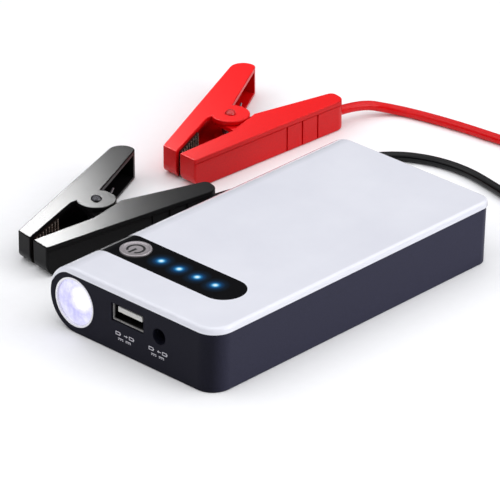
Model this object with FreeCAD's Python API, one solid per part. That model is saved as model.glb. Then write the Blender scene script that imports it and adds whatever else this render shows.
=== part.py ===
import FreeCAD, Part
import math
import os

# A pocket jump starter pack with its pair of clamp leads. Millimetres, +Z up.
# The origin is the centre of the pack's base. The torch and the ports are on the -Y end.
# The leads lie unplugged on the same surface: clamps beyond the pack's -X side, plug beyond +X +Y.

V = FreeCAD.Vector
UP = V(0, 0, 1)

# Pack: a block whose left edge (-X) is a full round barrel that holds the torch.
WIDTH = 80.0
LENGTH = 140.0
HEIGHT = 25.0
FRONT_CORNER_R = 8.0
BACK_CORNER_R = 5.0
COVER_EDGE_R = 1.3
CASE_EDGE_R = 0.6
OVERHANG = 0.35  # the cover stands proud of the case all round, and hides the seam
DRAFT = 0.85  # the case's right side leans in by this much at the base
WALL = 2.0
SEAM_Z = 22.5
BARREL_SEAM_Z = 16.8  # the cover wraps down over the barrel to here
BARREL_LIP = 1.9  # cover thickness at the barrel's top
BARREL_LIP_END = 1.1  # cover thickness at the barrel's seam
COVER_ROOF_Z = 23.0
COVER_POCKET_X = (-14.0, 36.5)  # where the cover's underside is hollowed out
COVER_POCKET_Y = (-66.0, 66.0)

BARREL_R = HEIGHT / 2
BARREL_X = -WIDTH / 2 + BARREL_R
BARREL_Z = HEIGHT / 2
CASE_BARREL_R = BARREL_R - OVERHANG
CASE_RIGHT = WIDTH / 2 - OVERHANG
CASE_END = LENGTH / 2 - OVERHANG
INNER_END = CASE_END - WALL

# Indicator strip, let into the cover across the barrel, with one round end.
STRIP_FRONT_Y = -53.1
STRIP_BACK_Y = -37.0
STRIP_ROUND_X = 19.8
STRIP_DEPTH = 1.0
STRIP_LOW_Z = 19.5
STRIP_Y = (STRIP_FRONT_Y + STRIP_BACK_Y) / 2
STRIP_HALF = (STRIP_BACK_Y - STRIP_FRONT_Y) / 2
LIGHT_XS = (-10.0, -1.4, 7.2, 15.8)
LIGHT_R = 1.5

# Power button in the strip.
BUTTON_X = -22.3
BUTTON_R = 5.7
BUTTON_HOLE_R = 5.85
BUTTON_PROUD = 0.5
BUTTON_TRAVEL = 0.5
BUTTON_FLANGE_R = 6.7
BUTTON_EDGE_R = 0.35
FLANGE_LOW_Z = 21.5
FLANGE_THICK = 0.6
SWITCH_HALF = 3.0
SWITCH_HEIGHT = 1.8
PLUNGER_R = 1.5
PLUNGER_GAP = 0.1

# Boards.
BOARD_LOW_Z = 10.3
BOARD_THICK = 1.6
BOARD_TOP_Z = BOARD_LOW_Z + BOARD_THICK
LIGHT_BOARD_LOW_Z = 17.4
LIGHT_BOARD_THICK = 1.2
LIGHT_BOARD_TOP_Z = LIGHT_BOARD_LOW_Z + LIGHT_BOARD_THICK
LIGHT_BOARD_X = (-31.0, 19.5)
LIGHT_BOARD_MARGIN = 2.0
LIGHT_FOOT_HALF = (1.2, 1.6)
LIGHT_FOOT_HEIGHT = 1.0
BOARD_X = (-12.0, 32.5)
BOARD_BACK_Y = -38.4
BOARD_GAP = 0.3
COIL_PLACE = (26.0, -46.0)
COIL_R = 4.2
COIL_HEIGHT = 4.6
CAPACITOR_PLACES = ((-8.0, -42.0), (-3.0, -42.0))
CAPACITOR_R = 2.0
CAPACITOR_HEIGHT = 5.0
CHIP_XS = (2.0, 8.2, 14.4)
CHIP_WIDTH = 4.6
CHIP_YS = (-49.0, -43.0)
CHIP_HEIGHT = 1.4
DRIVER_XS = (-10.0, -5.0)
DRIVER_YS = (-53.0, -48.0)
DRIVER_HEIGHT = 1.0

# USB-A outlet.
USB_X = -1.9
USB_Z = 15.2
USB_WIDTH = 14.4
USB_HEIGHT = 5.8
USB_WALL = 0.35
USB_RECESS = 0.8
USB_BACK_Y = -56.0
USB_HOLE_GAP = 0.5
TONGUE_HALF = 5.75
TONGUE_THICK = 1.9
TONGUE_FRONT_Y = -68.2
TONGUE_ROOT_Y = -59.0
TONGUE_ROOT_GAP = 0.2
CONTACTS = ((-3.5, -67.8), (-1.0, -67.0), (1.0, -67.0), (3.5, -67.8))  # place along X, tip's Y
CONTACT_WIDTH = 1.0
CONTACT_THICK = 0.25

# DC inlet.
DC_X = 13.3
DC_Z = 13.7
DC_HOLE_R = 3.0
DC_BORE_R = 2.75
DC_BODY = 9.0
DC_BACK_Y = -56.0
DC_BACK_WALL = 2.5
DC_PIN_R = 1.0
DC_PIN_TIP_Y = -66.0

# Torch, on the barrel's axis.
TORCH_Z = 11.9
TORCH_R = 9.2
BEZEL_WALL = 0.7
LENS_R = TORCH_R - BEZEL_WALL
LENS_THICK = 1.6
LENS_RECESS = 0.4
LENS_DOME_R = 110.0
BEZEL_PROUD = 0.2
BEZEL_BACK_Y = -66.4
CUP_YS = (-66.3, -61.5, -56.6)  # the reflector's mouth, its waist and its back
CUP_OUTER_RS = (9.0, 6.9, 3.2)
CUP_INNER_RS = (8.3, 6.2, 2.4)
LED_BASE_HALF = 1.8
LED_BASE_YS = (-56.5, -55.4)
LED_DOME_R = 1.3
LED_DOME_Y = -56.75
TORCH_BOARD_R = 8.0
TORCH_BOARD_THICK = 1.6

# Cells.
CELL_COUNT = 3
CELL_X = (-20.0, 35.0)
CELL_Y = (-35.0, 43.0)
CELL_THICK = 5.0
CELL_EDGE_R = 1.2
PAD_THICK = 0.6
PAD_MARGIN = 2.0
TAB_XS = (-8.0, 18.0)
TAB_WIDTH = 8.0
TAB_THICK = 0.3
CELL_BOARD_X = (-23.5, 33.0)
CELL_BOARD_Z = (3.0, 18.0)
CELL_BOARD_Y = (-37.6, -36.4)
SOLDER_GAP = 0.05
INNER_LEAD_R = 1.3

# Lead socket in the back end, behind a hinged rubber cover.
SOCKET_X = 2.0
SOCKET_Z = 11.5
SOCKET_WIDTH = 26.0
SOCKET_HEIGHT = 12.6
SOCKET_SPACING = 11.0
SOCKET_BORE_R = 2.6
SOCKET_BORE_DEPTH = 10.0
SLEEVE_R = 3.4
SOCKET_FACE_Y = 67.45
SOCKET_BACK_Y = 55.4
SLEEVE_FLOOR = 1.0
FLAP_WIDTH = 26.6
FLAP_THICK = 2.0
FLAP_LOW_Z = 4.9
FLAP_TOP_Z = 18.0
FLAP_GAP = 0.2
FLAP_EDGE_R = 0.4
FLAP_PIN_R = 0.5
FLAP_PIN_PLAY = 0.05
FLAP_PIN_OVERHANG = 2.0
PULL_HALF = 4.0
PULL_PROUD = 0.35
PULL_Z = (15.6, 16.8)
FLAP_PIN_Y = CASE_END - FLAP_THICK / 2
FLAP_PIN_Z = FLAP_LOW_Z + FLAP_THICK / 2

# Case screws, driven up from the base into the cover's posts.
SCREW_PLACES = ((31.0, -60.5), (31.0, 60.5), (-28.0, 60.5), (-28.0, -33.0))
SCREW_R = 1.25
SCREW_HEAD_R = 2.3
SCREW_HEAD_Z = 1.0
SCREW_SEAT_Z = 3.0
SCREW_TIP_Z = 19.0
SCREW_BORE_TOP_Z = 20.5
CROSS_HALF = 1.6
CROSS_HALF_WIDTH = 0.3
CROSS_DEPTH = 0.6
POST_SPLIT_Z = 13.0
CASE_POST_R = 4.0
COVER_POST_R = 3.2

# Clamps, lying on their sides. Each is drawn in its own frame: the pivot is the origin, u runs
# from the jaws to the handles, v from the lower lever to the upper one, and z is its thickness.
CLAMP_THICK = 12.0
CLAMP_PLATE = 1.6
LEVER_SPINE = 2.0
CLAMP_PLACES = {"black": (V(-78.7, -9.1, 0), 81.8), "red": (V(-93.6, 75.0, 0), 86.9)}
LEVER_TOP_R = 0.4
LEVER_BASE_R = 1.0
NOSE_R = 5.0  # under the nose, and under the lower lever's handle end
NOSE_WALL = 2.2
NOSE_U = -36.5
UPPER_NOSE_OUT = V(NOSE_U, -3.2)
UPPER_NOSE_IN = V(NOSE_U, -10.4)
UPPER_ARMPIT = V(-8.8, 3.1)
UPPER_END_U = 34.2
UPPER_SLOPE = 0.52  # of the upper lever's back
LOWER_NOSE_IN = V(NOSE_U, -12.3)
LOWER_OUTER_V = -20.5
LOWER_THROAT = V(-9.5, -11.4)
LOWER_END_U = 40.4
GRIP_GROOVES_U = (9.5, 17.3, 25.1)
GRIP_GROOVE_WIDTH = 0.8
GRIP_GROOVE_DEPTH = 0.5
PANEL_LINE_Z = (CLAMP_THICK - 1.9, CLAMP_THICK - 1.6)
PANEL_LINE_DEPTH = 0.3
EAR_R = 7.3
INNER_EAR_R = 6.0
INNER_EAR_GAP = 0.3
INNER_EAR_THICK = 1.6
EAR_CLEARANCE_R = 8.0
PIN_R = 1.5
PIN_PLAY = 0.06
PIN_HEAD_R = 2.0
PIN_HEAD_HEIGHT = 1.3
PIN_DOME_R = 2.2
PIN_END_GAP = 0.15
JAW_START = 2.6
JAW_LENGTH = 19.0
JAW_MARGIN = 1.2
JAW_BASE = 0.6
TOOTH_HEIGHT = 0.75
TOOTH_PITCH = 2.2
SPRING_R = 2.9
SPRING_WIRE_R = 0.4
SPRING_TURNS = 3
SPRING_PITCH = 1.0
CABLE_V = -16.2
CABLE_START_U = 30.0
CRIMP_START_U = 18.0
CRIMP_R = 2.2
STRAP_START_U = -28.0
STRAP_THICK = 0.8
STRAP_Z = (4.5, 7.5)

# Cables and their plug.
CABLE_R = 1.85
EXIT_Z = CLAMP_THICK / 2
FLOOR_Z = CABLE_R
PLUG_REAR = V(71.0, 115.0, 0)
PLUG_HEADING = -30.0
PLUG_WIDTH = 23.0
PLUG_HEIGHT = 11.6
PLUG_LENGTH = 22.0
PLUG_BOOT_LENGTH = 11.0
PLUG_BOOT_REAR = (6.2, 3.2)  # half its width and half its height
PLUG_BOOT_FRONT = (9.5, 4.9)
PLUG_BOOT_EDGE_R = 1.2
PLUG_EDGE_R = 2.2
PLUG_PIN_R = 2.5
PLUG_PIN_LENGTH = 9.5
PLUG_PIN_TIP_R = 1.2
PLUG_CABLE_GAP = 3.0

# Each route is the free cable from the clamp's handle to the plug's boot. The first two and the
# last two points are worked out from the clamp and from the plug, in lead_route.
FREE_ROUTES = {
    "black": [
        V(-52.6, 61.5, FLOOR_Z),
        V(-50.0, 79.5, FLOOR_Z),
        V(-47.3, 95.5, FLOOR_Z),
        V(-39.0, 107.0, FLOOR_Z),
        V(-26.5, 113.3, FLOOR_Z),
        V(-12.0, 115.0, FLOOR_Z),
        V(3.0, 112.3, FLOOR_Z),
        V(17.0, 108.8, FLOOR_Z),
        V(31.0, 110.5, FLOOR_Z),
        V(44.5, 116.5, FLOOR_Z),
    ],
    "red": [
        V(-66.5, 135.5, FLOOR_Z),
        V(-51.5, 139.2, FLOOR_Z),
        V(-36.0, 141.7, FLOOR_Z),
        V(-20.5, 143.2, FLOOR_Z),
        V(-5.5, 145.3, FLOOR_Z),
        V(9.0, 149.5, FLOOR_Z),
        V(25.0, 152.5, FLOOR_Z),
        V(40.0, 148.5, FLOOR_Z),
        V(51.5, 137.5, FLOOR_Z),
    ],
}
FIRST_BEND_U = {"black": 53.0, "red": 49.0}
PLUG_RUN = 13.0


def save(name, shape):
    shape.exportStep(os.path.join("parts", name + ".step"))


def block(xs, ys, zs):
    return Part.makeBox(xs[1] - xs[0], ys[1] - ys[0], zs[1] - zs[0], V(xs[0], ys[0], zs[0]))


def rod(radius, start, axis, length):
    return Part.makeCylinder(radius, length, start, axis)


def rounded_face(corners):
    """A flat face from (x, y, radius) corners, where a radius of 0 is a sharp corner."""
    count = len(corners)
    edges = []
    ends = []
    for n in range(count):
        before, here, after = (V(*corners[(n + k) % count][:2]) for k in (-1, 0, 1))
        radius = corners[n][2]
        back, ahead = (before - here).normalize(), (after - here).normalize()
        if radius == 0:
            ends.append((here, here))
            continue
        half = back.getAngle(ahead) / 2
        reach = radius / math.tan(half)
        middle_way = (back + ahead).normalize()
        centre = here + middle_way * (radius / math.sin(half))
        first, last = here + back * reach, here + ahead * reach
        edges.append(Part.Arc(first, centre - middle_way * radius, last).toShape())
        ends.append((first, last))
    for n in range(count):
        edges.append(Part.LineSegment(ends[n][1], ends[(n + 1) % count][0]).toShape())
    return Part.Face(Part.Wire(Part.__sortEdges__(edges)))


def plate(corners, low_z, high_z):
    """The rounded outline as a slab between two heights."""
    face = rounded_face(corners)
    face.translate(V(0, 0, low_z))
    return face.extrude(V(0, 0, high_z - low_z))


def round_corners(solid, height, inset):
    """Rounds the two upright edges on the right, the back one less than the front one."""
    for radius, back in ((FRONT_CORNER_R, False), (BACK_CORNER_R, True)):
        upright = [
            e
            for e in solid.Edges
            if e.BoundBox.XMin > BARREL_X and e.BoundBox.ZLength > height and (e.BoundBox.YMin > 0) == back
        ]
        solid = solid.makeFillet(radius - inset, upright[:1])
    return solid


def barrel_block(radius, axis_z, right_low, right_high, half, inset):
    """The pack's outer form: flat top, base and right side, and a half-round left edge."""
    low, high = axis_z - radius, axis_z + radius
    corners = [
        V(BARREL_X, -half, low),
        V(right_low, -half, low),
        V(right_high, -half, high),
        V(BARREL_X, -half, high),
    ]
    edges = [Part.LineSegment(a, b).toShape() for a, b in zip(corners, corners[1:])]
    left = V(BARREL_X - radius, -half, axis_z)
    edges.append(Part.Arc(corners[3], left, corners[0]).toShape())
    solid = Part.Face(Part.Wire(edges)).extrude(V(0, 2 * half, 0))
    return round_corners(solid, radius, inset)


def round_rim(solid, half, radius):
    """Rounds both end outlines and the right side's long edges."""
    chosen = []
    for edge in solid.Edges:
        box = edge.BoundBox
        upright_line = box.ZLength > 5 and isinstance(edge.Curve, Part.Line)
        on_end = box.YLength < 0.01 and abs(abs(box.YMin) - half) < 0.01
        on_side = box.ZLength < 0.01 and box.XMin > 0
        if (on_end or on_side) and not upright_line:
            chosen.append(edge)
    return solid.makeFillet(radius, chosen)


def cover_form(inset):
    half = LENGTH / 2 - inset
    right = WIDTH / 2 - inset
    return barrel_block(BARREL_R - inset, BARREL_Z, right, right, half, inset)


def barrel_point(radius, angle):
    """A point of the barrel's section, at an angle above its left side."""
    return V(BARREL_X - radius * math.cos(angle), 0, BARREL_Z + radius * math.sin(angle))


def cover_zone():
    """The space above the seam, which the cover fills. Over the barrel the cover thins downwards."""
    top_r, end_r = BARREL_R - BARREL_LIP, BARREL_R - BARREL_LIP_END
    top_angle = math.asin((SEAM_Z - BARREL_Z) / top_r)
    end_angle = math.asin((BARREL_SEAM_Z - BARREL_Z) / end_r)
    top = barrel_point(top_r, top_angle)
    slant = barrel_point((top_r + end_r) / 2, (top_angle + end_angle) / 2)
    left = barrel_point(end_r, end_angle)
    far = WIDTH
    arc = Part.Arc(left, slant, top).toShape()
    corners = [top, V(far, 0, SEAM_Z), V(far, 0, far), V(-far, 0, far), V(-far, 0, left.z), left]
    edges = [Part.LineSegment(a, b).toShape() for a, b in zip(corners, corners[1:])]
    face = Part.Face(Part.Wire([arc] + edges))
    face.translate(V(0, -LENGTH, 0))
    return face.extrude(V(0, 2 * LENGTH, 0))


def strip_form():
    """The indicator strip's full form, before the button's hole."""
    skin = cover_form(0).cut(cover_form(STRIP_DEPTH))
    tall = (STRIP_LOW_Z, HEIGHT + 5)
    straight = block((-WIDTH, STRIP_ROUND_X), (STRIP_FRONT_Y, STRIP_BACK_Y), tall)
    end = rod(STRIP_HALF, V(STRIP_ROUND_X, STRIP_Y, BARREL_Z), UP, HEIGHT)
    return skin.common(straight.fuse(end)).removeSplitter()


def button_hole():
    return rod(BUTTON_HOLE_R, V(BUTTON_X, STRIP_Y, BARREL_Z), UP, HEIGHT)


def top_cover():
    cover = round_rim(cover_form(0), LENGTH / 2, COVER_EDGE_R).common(cover_zone())
    pocket = block(COVER_POCKET_X, COVER_POCKET_Y, (SEAM_Z - 1, COVER_ROOF_Z))
    cover = cover.cut(pocket).cut(strip_form()).cut(button_hole())
    for x in LIGHT_XS:
        cover = cover.cut(rod(LIGHT_R, V(x, STRIP_Y, SEAM_Z - 1), UP, HEIGHT))
    for x, y in SCREW_PLACES:
        post_height = COVER_ROOF_Z + 0.2 - POST_SPLIT_Z
        cover = cover.fuse(rod(COVER_POST_R, V(x, y, POST_SPLIT_Z), UP, post_height))
    for x, y in SCREW_PLACES:
        cover = cover.cut(rod(SCREW_R, V(x, y, 0), UP, SCREW_BORE_TOP_Z))
    return cover.removeSplitter()


def indicator_strip():
    return strip_form().cut(button_hole())


def case_cavity():
    """The room inside the case, open towards the cover."""
    inner_r = CASE_BARREL_R - WALL
    floor_right = CASE_RIGHT - DRAFT - WALL
    slope = DRAFT / HEIGHT
    seam = V(BARREL_X - math.sqrt(inner_r**2 - (BARREL_SEAM_Z - CASE_BARREL_R) ** 2), 0, BARREL_SEAM_Z)
    base = V(BARREL_X, 0, WALL)
    slant = V(BARREL_X - inner_r * math.sin(0.8), 0, CASE_BARREL_R - inner_r * math.cos(0.8))
    high = HEIGHT + 5
    corners = [
        base,
        V(floor_right, 0, WALL),
        V(floor_right + slope * high, 0, high),
        V(-WIDTH, 0, high),
        V(-WIDTH, 0, BARREL_SEAM_Z),
        seam,
    ]
    edges = [Part.LineSegment(a, b).toShape() for a, b in zip(corners, corners[1:])]
    edges.append(Part.Arc(seam, slant, base).toShape())
    face = Part.Face(Part.Wire(edges))
    face.translate(V(0, -INNER_END, 0))
    room = face.extrude(V(0, 2 * INNER_END, 0))
    return round_corners(room, HEIGHT / 2, WALL)


def bottom_case():
    outer = barrel_block(CASE_BARREL_R, CASE_BARREL_R, CASE_RIGHT - DRAFT, CASE_RIGHT, CASE_END, OVERHANG)
    case = round_rim(outer, CASE_END, CASE_EDGE_R).cut(case_cavity()).cut(cover_zone())
    front = (-LENGTH, -INNER_END + 1)
    back = (INNER_END - 1, LENGTH)
    case = case.cut(rod(TORCH_R, V(BARREL_X, -LENGTH, TORCH_Z), V(0, 1, 0), LENGTH - INNER_END + 1))
    half_x, half_z = USB_WIDTH / 2 + USB_HOLE_GAP, USB_HEIGHT / 2 + USB_HOLE_GAP
    case = case.cut(block((USB_X - half_x, USB_X + half_x), front, (USB_Z - half_z, USB_Z + half_z)))
    case = case.cut(rod(DC_HOLE_R, V(DC_X, -LENGTH, DC_Z), V(0, 1, 0), LENGTH - INNER_END + 1))
    half_flap = FLAP_WIDTH / 2 + FLAP_GAP
    flap_zs = (FLAP_LOW_Z - FLAP_GAP, FLAP_TOP_Z + FLAP_GAP)
    case = case.cut(block((SOCKET_X - half_flap, SOCKET_X + half_flap), back, flap_zs))
    case = case.cut(socket_cover_pin())
    for x, y in SCREW_PLACES:
        post = rod(CASE_POST_R, V(x, y, WALL - 0.5), UP, POST_SPLIT_Z - WALL + 0.5)
        case = case.fuse(post.common(outer))
    for x, y in SCREW_PLACES:
        case = case.cut(rod(SCREW_HEAD_R + 0.2, V(x, y, -1), UP, SCREW_SEAT_Z + 1))
        case = case.cut(rod(SCREW_R + 0.15, V(x, y, 0), UP, POST_SPLIT_Z + 1))
    return case.removeSplitter()


def case_screws():
    screws = []
    for x, y in SCREW_PLACES:
        head = rod(SCREW_HEAD_R, V(x, y, SCREW_HEAD_Z), UP, SCREW_SEAT_Z - SCREW_HEAD_Z)
        shank = rod(SCREW_R, V(x, y, SCREW_SEAT_Z), UP, SCREW_TIP_Z - SCREW_SEAT_Z)
        screw = head.fuse(shank)
        for half_x, half_y in ((CROSS_HALF, CROSS_HALF_WIDTH), (CROSS_HALF_WIDTH, CROSS_HALF)):
            slot = block((x - half_x, x + half_x), (y - half_y, y + half_y), (0, SCREW_HEAD_Z + CROSS_DEPTH))
            screw = screw.cut(slot)
        screws.append(screw)
    return Part.makeCompound(screws)


def power_button():
    top = HEIGHT + BUTTON_PROUD
    flange_top = FLANGE_LOW_Z + FLANGE_THICK
    cap = rod(BUTTON_R, V(BUTTON_X, STRIP_Y, flange_top - 0.1), UP, top - flange_top + 0.1)
    rim = [e for e in cap.Edges if abs(e.BoundBox.ZMin - top) < 0.01]
    cap = cap.makeFillet(BUTTON_EDGE_R, rim)
    flange = rod(BUTTON_FLANGE_R, V(BUTTON_X, STRIP_Y, FLANGE_LOW_Z), UP, FLANGE_THICK)
    return cap.fuse(flange)


def button_switch():
    body_top = LIGHT_BOARD_TOP_Z + SWITCH_HEIGHT
    xs = (BUTTON_X - SWITCH_HALF, BUTTON_X + SWITCH_HALF)
    ys = (STRIP_Y - SWITCH_HALF, STRIP_Y + SWITCH_HALF)
    body = block(xs, ys, (LIGHT_BOARD_TOP_Z, body_top))
    plunger_top = FLANGE_LOW_Z - BUTTON_TRAVEL - PLUNGER_GAP
    return body.fuse(rod(PLUNGER_R, V(BUTTON_X, STRIP_Y, body_top), UP, plunger_top - body_top))


def indicator_board():
    ys = (STRIP_FRONT_Y + LIGHT_BOARD_MARGIN, STRIP_BACK_Y - LIGHT_BOARD_MARGIN)
    board = block(LIGHT_BOARD_X, ys, (LIGHT_BOARD_LOW_Z, LIGHT_BOARD_TOP_Z))
    room_r = BARREL_R - BARREL_LIP - BOARD_GAP
    barrel = rod(room_r, V(BARREL_X, -LENGTH, BARREL_Z), V(0, 1, 0), LENGTH)
    right = block((BARREL_X, WIDTH), (-LENGTH, 0), (0, HEIGHT))
    return board.common(barrel.fuse(right))


def indicator_lights():
    """Four clear pipes, each with a square foot on the indicator board."""
    foot_top = LIGHT_BOARD_TOP_Z + LIGHT_FOOT_HEIGHT
    top = HEIGHT - STRIP_DEPTH - 0.05
    half_x, half_y = LIGHT_FOOT_HALF
    foot_ys = (STRIP_Y - half_y, STRIP_Y + half_y)
    lights = []
    for x in LIGHT_XS:
        foot = block((x - half_x, x + half_x), foot_ys, (LIGHT_BOARD_TOP_Z, foot_top))
        pipe = rod(LIGHT_R - 0.2, V(x, STRIP_Y, foot_top - 0.2), UP, top - foot_top + 0.2)
        lights.append(foot.fuse(pipe))
    return Part.makeCompound(lights)


def main_circuit_board():
    """A board with a notch for the DC inlet and a hole round the screw post."""
    board = block(BOARD_X, (-INNER_END + 0.25, BOARD_BACK_Y), (BOARD_LOW_Z, BOARD_TOP_Z))
    half = DC_BODY / 2 + BOARD_GAP
    board = board.cut(block((DC_X - half, DC_X + half), (-LENGTH, DC_BACK_Y + BOARD_GAP), (0, HEIGHT)))
    x, y = SCREW_PLACES[0]
    return board.cut(rod(CASE_POST_R + 0.5, V(x, y, 0), UP, HEIGHT))


def board_components():
    coil = rod(COIL_R, V(*COIL_PLACE, BOARD_TOP_Z), UP, COIL_HEIGHT)
    capacitors = [rod(CAPACITOR_R, V(x, y, BOARD_TOP_Z), UP, CAPACITOR_HEIGHT) for x, y in CAPACITOR_PLACES]
    chip_zs = (BOARD_TOP_Z, BOARD_TOP_Z + CHIP_HEIGHT)
    chips = [block((x, x + CHIP_WIDTH), CHIP_YS, chip_zs) for x in CHIP_XS]
    driver = block(DRIVER_XS, DRIVER_YS, (BOARD_TOP_Z, BOARD_TOP_Z + DRIVER_HEIGHT))
    return Part.makeCompound([coil, *capacitors, *chips, driver])


def usb_shell():
    xs = (USB_X - USB_WIDTH / 2, USB_X + USB_WIDTH / 2)
    zs = (USB_Z - USB_HEIGHT / 2, USB_Z + USB_HEIGHT / 2)
    front = -CASE_END + USB_RECESS
    outer = block(
        (xs[0] - USB_WALL, xs[1] + USB_WALL), (front, USB_BACK_Y), (zs[0] - USB_WALL, zs[1] + USB_WALL)
    )
    return outer.cut(block(xs, (front - 1, USB_BACK_Y - USB_WALL), zs))


def usb_tongue():
    """The port's flat tongue, and the block at its root that fills the shell."""
    xs = (USB_X - TONGUE_HALF, USB_X + TONGUE_HALF)
    tongue = block(xs, (TONGUE_FRONT_Y, TONGUE_ROOT_Y), (USB_Z, USB_Z + TONGUE_THICK))
    half_x, half_z = USB_WIDTH / 2 - TONGUE_ROOT_GAP, USB_HEIGHT / 2 - TONGUE_ROOT_GAP
    root_ys = (TONGUE_ROOT_Y, USB_BACK_Y - USB_WALL)
    root = block((USB_X - half_x, USB_X + half_x), root_ys, (USB_Z - half_z, USB_Z + half_z))
    return tongue.fuse(root).removeSplitter()


def usb_contacts():
    strips = []
    zs = (USB_Z - CONTACT_THICK, USB_Z)
    for x, tip in CONTACTS:
        left = USB_X + x - CONTACT_WIDTH / 2
        strips.append(block((left, left + CONTACT_WIDTH), (tip, TONGUE_ROOT_Y), zs))
    return Part.makeCompound(strips)


def dc_jack_body():
    half = DC_BODY / 2
    body = block((DC_X - half, DC_X + half), (-INNER_END, DC_BACK_Y), (DC_Z - half, DC_Z + half))
    bore_length = LENGTH + DC_BACK_Y - DC_BACK_WALL
    return body.cut(rod(DC_BORE_R, V(DC_X, -LENGTH, DC_Z), V(0, 1, 0), bore_length))


def dc_jack_pin():
    tip = V(DC_X, DC_PIN_TIP_Y, DC_Z)
    stem = rod(DC_PIN_R, tip, V(0, 1, 0), DC_BACK_Y - DC_BACK_WALL - DC_PIN_TIP_Y)
    return stem.fuse(Part.makeSphere(DC_PIN_R, tip))


def torch_ring(outer_r, inner_r, front, back):
    centre = V(BARREL_X, front, TORCH_Z)
    ring = rod(outer_r, centre, V(0, 1, 0), back - front)
    return ring.cut(rod(inner_r, centre, V(0, 1, 0), back - front))


def torch_bezel():
    return torch_ring(TORCH_R, LENS_R, -CASE_END - BEZEL_PROUD, BEZEL_BACK_Y)


def torch_lens():
    """A clear disc with a shallow domed front."""
    disc = rod(LENS_R, V(BARREL_X, -CASE_END + LENS_RECESS, TORCH_Z), V(0, 1, 0), LENS_THICK)
    dome = Part.makeSphere(LENS_DOME_R, V(BARREL_X, -CASE_END + LENS_DOME_R, TORCH_Z))
    cap = rod(LENS_R, V(BARREL_X, -CASE_END - 0.1, TORCH_Z), V(0, 1, 0), LENS_RECESS + 0.2).common(dome)
    return disc.fuse(cap).removeSplitter()


def stepped_cone(radii):
    """Two cones end to end, through the three places of the cup."""
    cones = [
        Part.makeCone(r, next_r, next_y - y, V(BARREL_X, y, TORCH_Z), V(0, 1, 0))
        for r, next_r, y, next_y in zip(radii, radii[1:], CUP_YS, CUP_YS[1:])
    ]
    return cones[0].fuse(cones[1])


def torch_reflector():
    """A cup that narrows in two steps from the lens to the light."""
    return stepped_cone(CUP_OUTER_RS).cut(stepped_cone(CUP_INNER_RS)).removeSplitter()


def torch_led():
    xs = (BARREL_X - LED_BASE_HALF, BARREL_X + LED_BASE_HALF)
    base = block(xs, LED_BASE_YS, (TORCH_Z - LED_BASE_HALF, TORCH_Z + LED_BASE_HALF))
    return base.fuse(Part.makeSphere(LED_DOME_R, V(BARREL_X, LED_DOME_Y, TORCH_Z)))


def torch_board():
    return rod(TORCH_BOARD_R, V(BARREL_X, LED_BASE_YS[1], TORCH_Z), V(0, 1, 0), TORCH_BOARD_THICK)


def cell_low_z(n):
    return WALL + PAD_THICK + n * (CELL_THICK + PAD_THICK)


def battery_cells():
    cells = []
    for n in range(CELL_COUNT):
        low = cell_low_z(n)
        cell = block(CELL_X, CELL_Y, (low, low + CELL_THICK))
        long_edges = [e for e in cell.Edges if e.BoundBox.YLength > 50]
        cells.append(cell.makeFillet(CELL_EDGE_R, long_edges))
    return Part.makeCompound(cells)


def cell_pads():
    pads = []
    for n in range(CELL_COUNT):
        top = cell_low_z(n)
        xs = (CELL_X[0] + PAD_MARGIN, CELL_X[1] - PAD_MARGIN)
        ys = (CELL_Y[0] + PAD_MARGIN, CELL_Y[1] - PAD_MARGIN)
        pads.append(block(xs, ys, (top - PAD_THICK, top)))
    return Part.makeCompound(pads)


def cell_board():
    return block(CELL_BOARD_X, CELL_BOARD_Y, CELL_BOARD_Z)


def cell_tabs():
    tabs = []
    for n in range(CELL_COUNT):
        middle = cell_low_z(n) + CELL_THICK / 2
        zs = (middle - TAB_THICK / 2, middle + TAB_THICK / 2)
        for x in TAB_XS:
            tabs.append(block((x, x + TAB_WIDTH), (CELL_BOARD_Y[1], CELL_Y[0]), zs))
    return Part.makeCompound(tabs)


def bent_tube(points, radius, share=0.45):
    """A round tube of straight runs, joined by tangent arcs that use a share of the shorter run."""
    edges = []
    bends = []
    start = points[0]
    for before, corner, after in zip(points, points[1:], points[2:]):
        run_in, run_out = corner - before, after - corner
        reach = share * min(run_in.Length, run_out.Length)
        half_turn = run_in.getAngle(run_out) / 2
        bend = reach / math.tan(half_turn)
        back, ahead = V(run_in).normalize() * -1, V(run_out).normalize()
        middle_way = (back + ahead).normalize()
        centre = corner + middle_way * (bend / math.cos(half_turn))
        first, last = corner + back * reach, corner + ahead * reach
        edges.append(Part.LineSegment(start, first).toShape())
        edges.append(Part.Arc(first, centre - middle_way * bend, last).toShape())
        bends.append(bend)
        start = last
    edges.append(Part.LineSegment(start, points[-1]).toShape())
    path = Part.Wire(edges)
    section = Part.Wire(Part.makeCircle(radius, points[0], points[1] - points[0]))
    tube = path.makePipeShell([section], True, True)
    ideal = math.pi * radius**2 * path.Length
    print(
        f"tube length {path.Length:.1f} mm, volume over section times length {tube.Volume / ideal:.4f},"
        f" bend radii {[round(b, 1) for b in bends]}"
    )
    return tube


def internal_leads():
    """Two wires from the lead socket's contacts, along the cells' left side, to the cell board."""
    left, right = SOCKET_X - SOCKET_SPACING / 2, SOCKET_X + SOCKET_SPACING / 2
    end_y = CELL_BOARD_Y[1] + SOLDER_GAP
    positive = [
        V(left, SOCKET_BACK_Y, SOCKET_Z),
        V(left, 50.0, SOCKET_Z),
        V(-14.0, 47.5, 15.0),
        V(-22.4, 47.0, 15.0),
        V(-22.4, 30.0, 15.0),
        V(-22.4, end_y, 15.3),
    ]
    negative = [
        V(right, SOCKET_BACK_Y, SOCKET_Z),
        V(right, 50.0, SOCKET_Z),
        V(0.0, 48.0, 7.5),
        V(-22.4, 47.0, 7.0),
        V(-22.4, 30.0, 7.0),
        V(-22.4, end_y, 6.8),
    ]
    return Part.makeCompound([bent_tube(route, INNER_LEAD_R) for route in (positive, negative)])


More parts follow.
